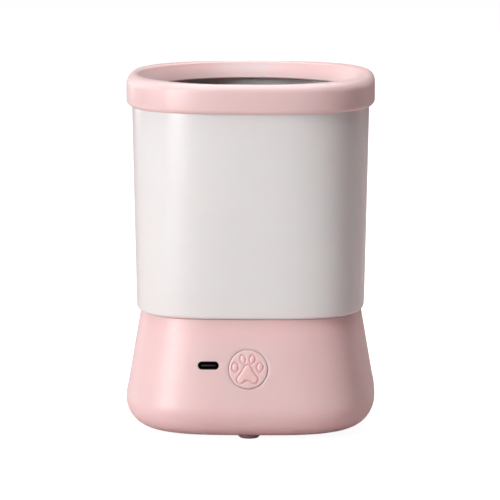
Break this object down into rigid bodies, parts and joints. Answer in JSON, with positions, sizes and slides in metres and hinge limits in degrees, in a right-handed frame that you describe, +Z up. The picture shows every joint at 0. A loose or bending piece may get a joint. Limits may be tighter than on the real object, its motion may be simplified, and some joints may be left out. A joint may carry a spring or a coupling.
{
  "type": "paw washer cup",
  "caption": "Rounded-square paw washing cup with a splash ring and a turning bristle drum, on a flared rechargeable motor base with a round power button.",
  "frame": {"origin": "on the table under the middle of the base, at the underside of the rubber feet", "axes": "+Z up through the ring's opening along the brush axis; -Y is the front, with the charging port and the power button; +X is to the right seen from the front"},
  "size_m": [0.1106, 0.1106, 0.1565],
  "materials": {
    "pink_plastic": "satin",
    "white_plastic": "semi-gloss",
    "slate_silicone": "matte",
    "charcoal_plastic": "satin",
    "seal_rubber": "matte",
    "foot_rubber": "satin",
    "gear_nylon": "satin",
    "steel": "machined",
    "brass": "machined",
    "circuit_board": "lacquered",
    "cell_wrap": "film",
    "red_wire": "insulation",
    "black_wire": "insulation"
  },
  "bodies": {
    "base": {"base_housing": "pink_plastic", "base_cover": "pink_plastic", "foot_front": "foot_rubber", "foot_back": "foot_rubber", "foot_left": "foot_rubber", "foot_right": "foot_rubber", "cover_screw_1": "steel", "cover_screw_2": "steel", "cover_screw_3": "steel", "cover_screw_4": "steel", "gear_tray": "charcoal_plastic", "tray_screw_1": "steel", "tray_screw_2": "steel", "tray_screw_3": "steel", "tray_screw_4": "steel", "motor_can": "steel", "motor_endcap": "gear_nylon", "motor_screw_1": "steel", "motor_screw_2": "steel", "idler_axle": "steel", "upper_bearing": "brass", "lower_bearing": "brass", "deck_seal": "seal_rubber", "main_board": "circuit_board", "board_screw_1": "steel", "board_screw_2": "steel", "switch_body": "charcoal_plastic", "usb_shell": "steel", "usb_tongue": "charcoal_plastic", "battery_cell": "cell_wrap", "battery_cradle": "charcoal_plastic", "battery_lead_red": "red_wire", "battery_lead_black": "black_wire", "motor_lead_red": "red_wire", "motor_lead_black": "black_wire"},
    "button": {"power_button": "pink_plastic", "switch_plunger": "gear_nylon"},
    "cup": {"cup_shell": "white_plastic", "cup_bush": "brass", "spindle_seal": "seal_rubber"},
    "ring": {"splash_ring": "pink_plastic", "ring_gasket": "seal_rubber"},
    "spindle": {"brush_spindle": "steel", "driven_dog": "charcoal_plastic"},
    "brush": {"brush_drum": "charcoal_plastic", "bristle_sleeve": "slate_silicone", "floor_pad": "slate_silicone"},
    "drive": {"drive_shaft": "steel", "drive_dog": "charcoal_plastic", "output_gear": "gear_nylon"},
    "idler": {"idler_wheel": "gear_nylon", "idler_pinion": "gear_nylon"},
    "rotor": {"motor_shaft": "steel", "motor_pinion": "brass"}
  },
  "joints": [
    {"name": "cup_lift", "type": "slide", "parent": "base", "child": "cup", "axis": [0, 0, 1], "range_m": [0, 0.06]},
    {"name": "ring_lift", "type": "slide", "parent": "cup", "child": "ring", "axis": [0, 0, 1], "range_m": [0, 0.04]},
    {"name": "brush_spin", "type": "hinge", "parent": "cup", "child": "spindle", "pos_m": [0, 0, 0.062], "axis": [0, 0, 1], "continuous": true},
    {"name": "brush_lift", "type": "slide", "parent": "spindle", "child": "brush", "axis": [0, 0, 1], "range_m": [0, 0.09]},
    {"name": "drive_spin", "type": "hinge", "parent": "base", "child": "drive", "pos_m": [0, 0, 0.04], "axis": [0, 0, 1], "continuous": true},
    {"name": "idler_spin", "type": "hinge", "parent": "base", "child": "idler", "pos_m": [0.01711, 0.00872, 0.037], "axis": [0, 0, 1], "continuous": true},
    {"name": "rotor_spin", "type": "hinge", "parent": "base", "child": "rotor", "pos_m": [0.00751, -0.00791, 0.035], "axis": [0, 0, 1], "continuous": true},
    {"name": "button_press", "type": "slide", "parent": "base", "child": "button", "axis": [0, 0.9853, -0.1711], "range_m": [0, 0.0008], "stiffness_N_per_m": 300, "springref_m": -0.001}
  ],
  "couplings": [
    {"joint": "drive_spin", "follows": "brush_spin", "ratio": 1},
    {"joint": "idler_spin", "follows": "brush_spin", "ratio": -3},
    {"joint": "rotor_spin", "follows": "brush_spin", "ratio": 9}
  ]
}
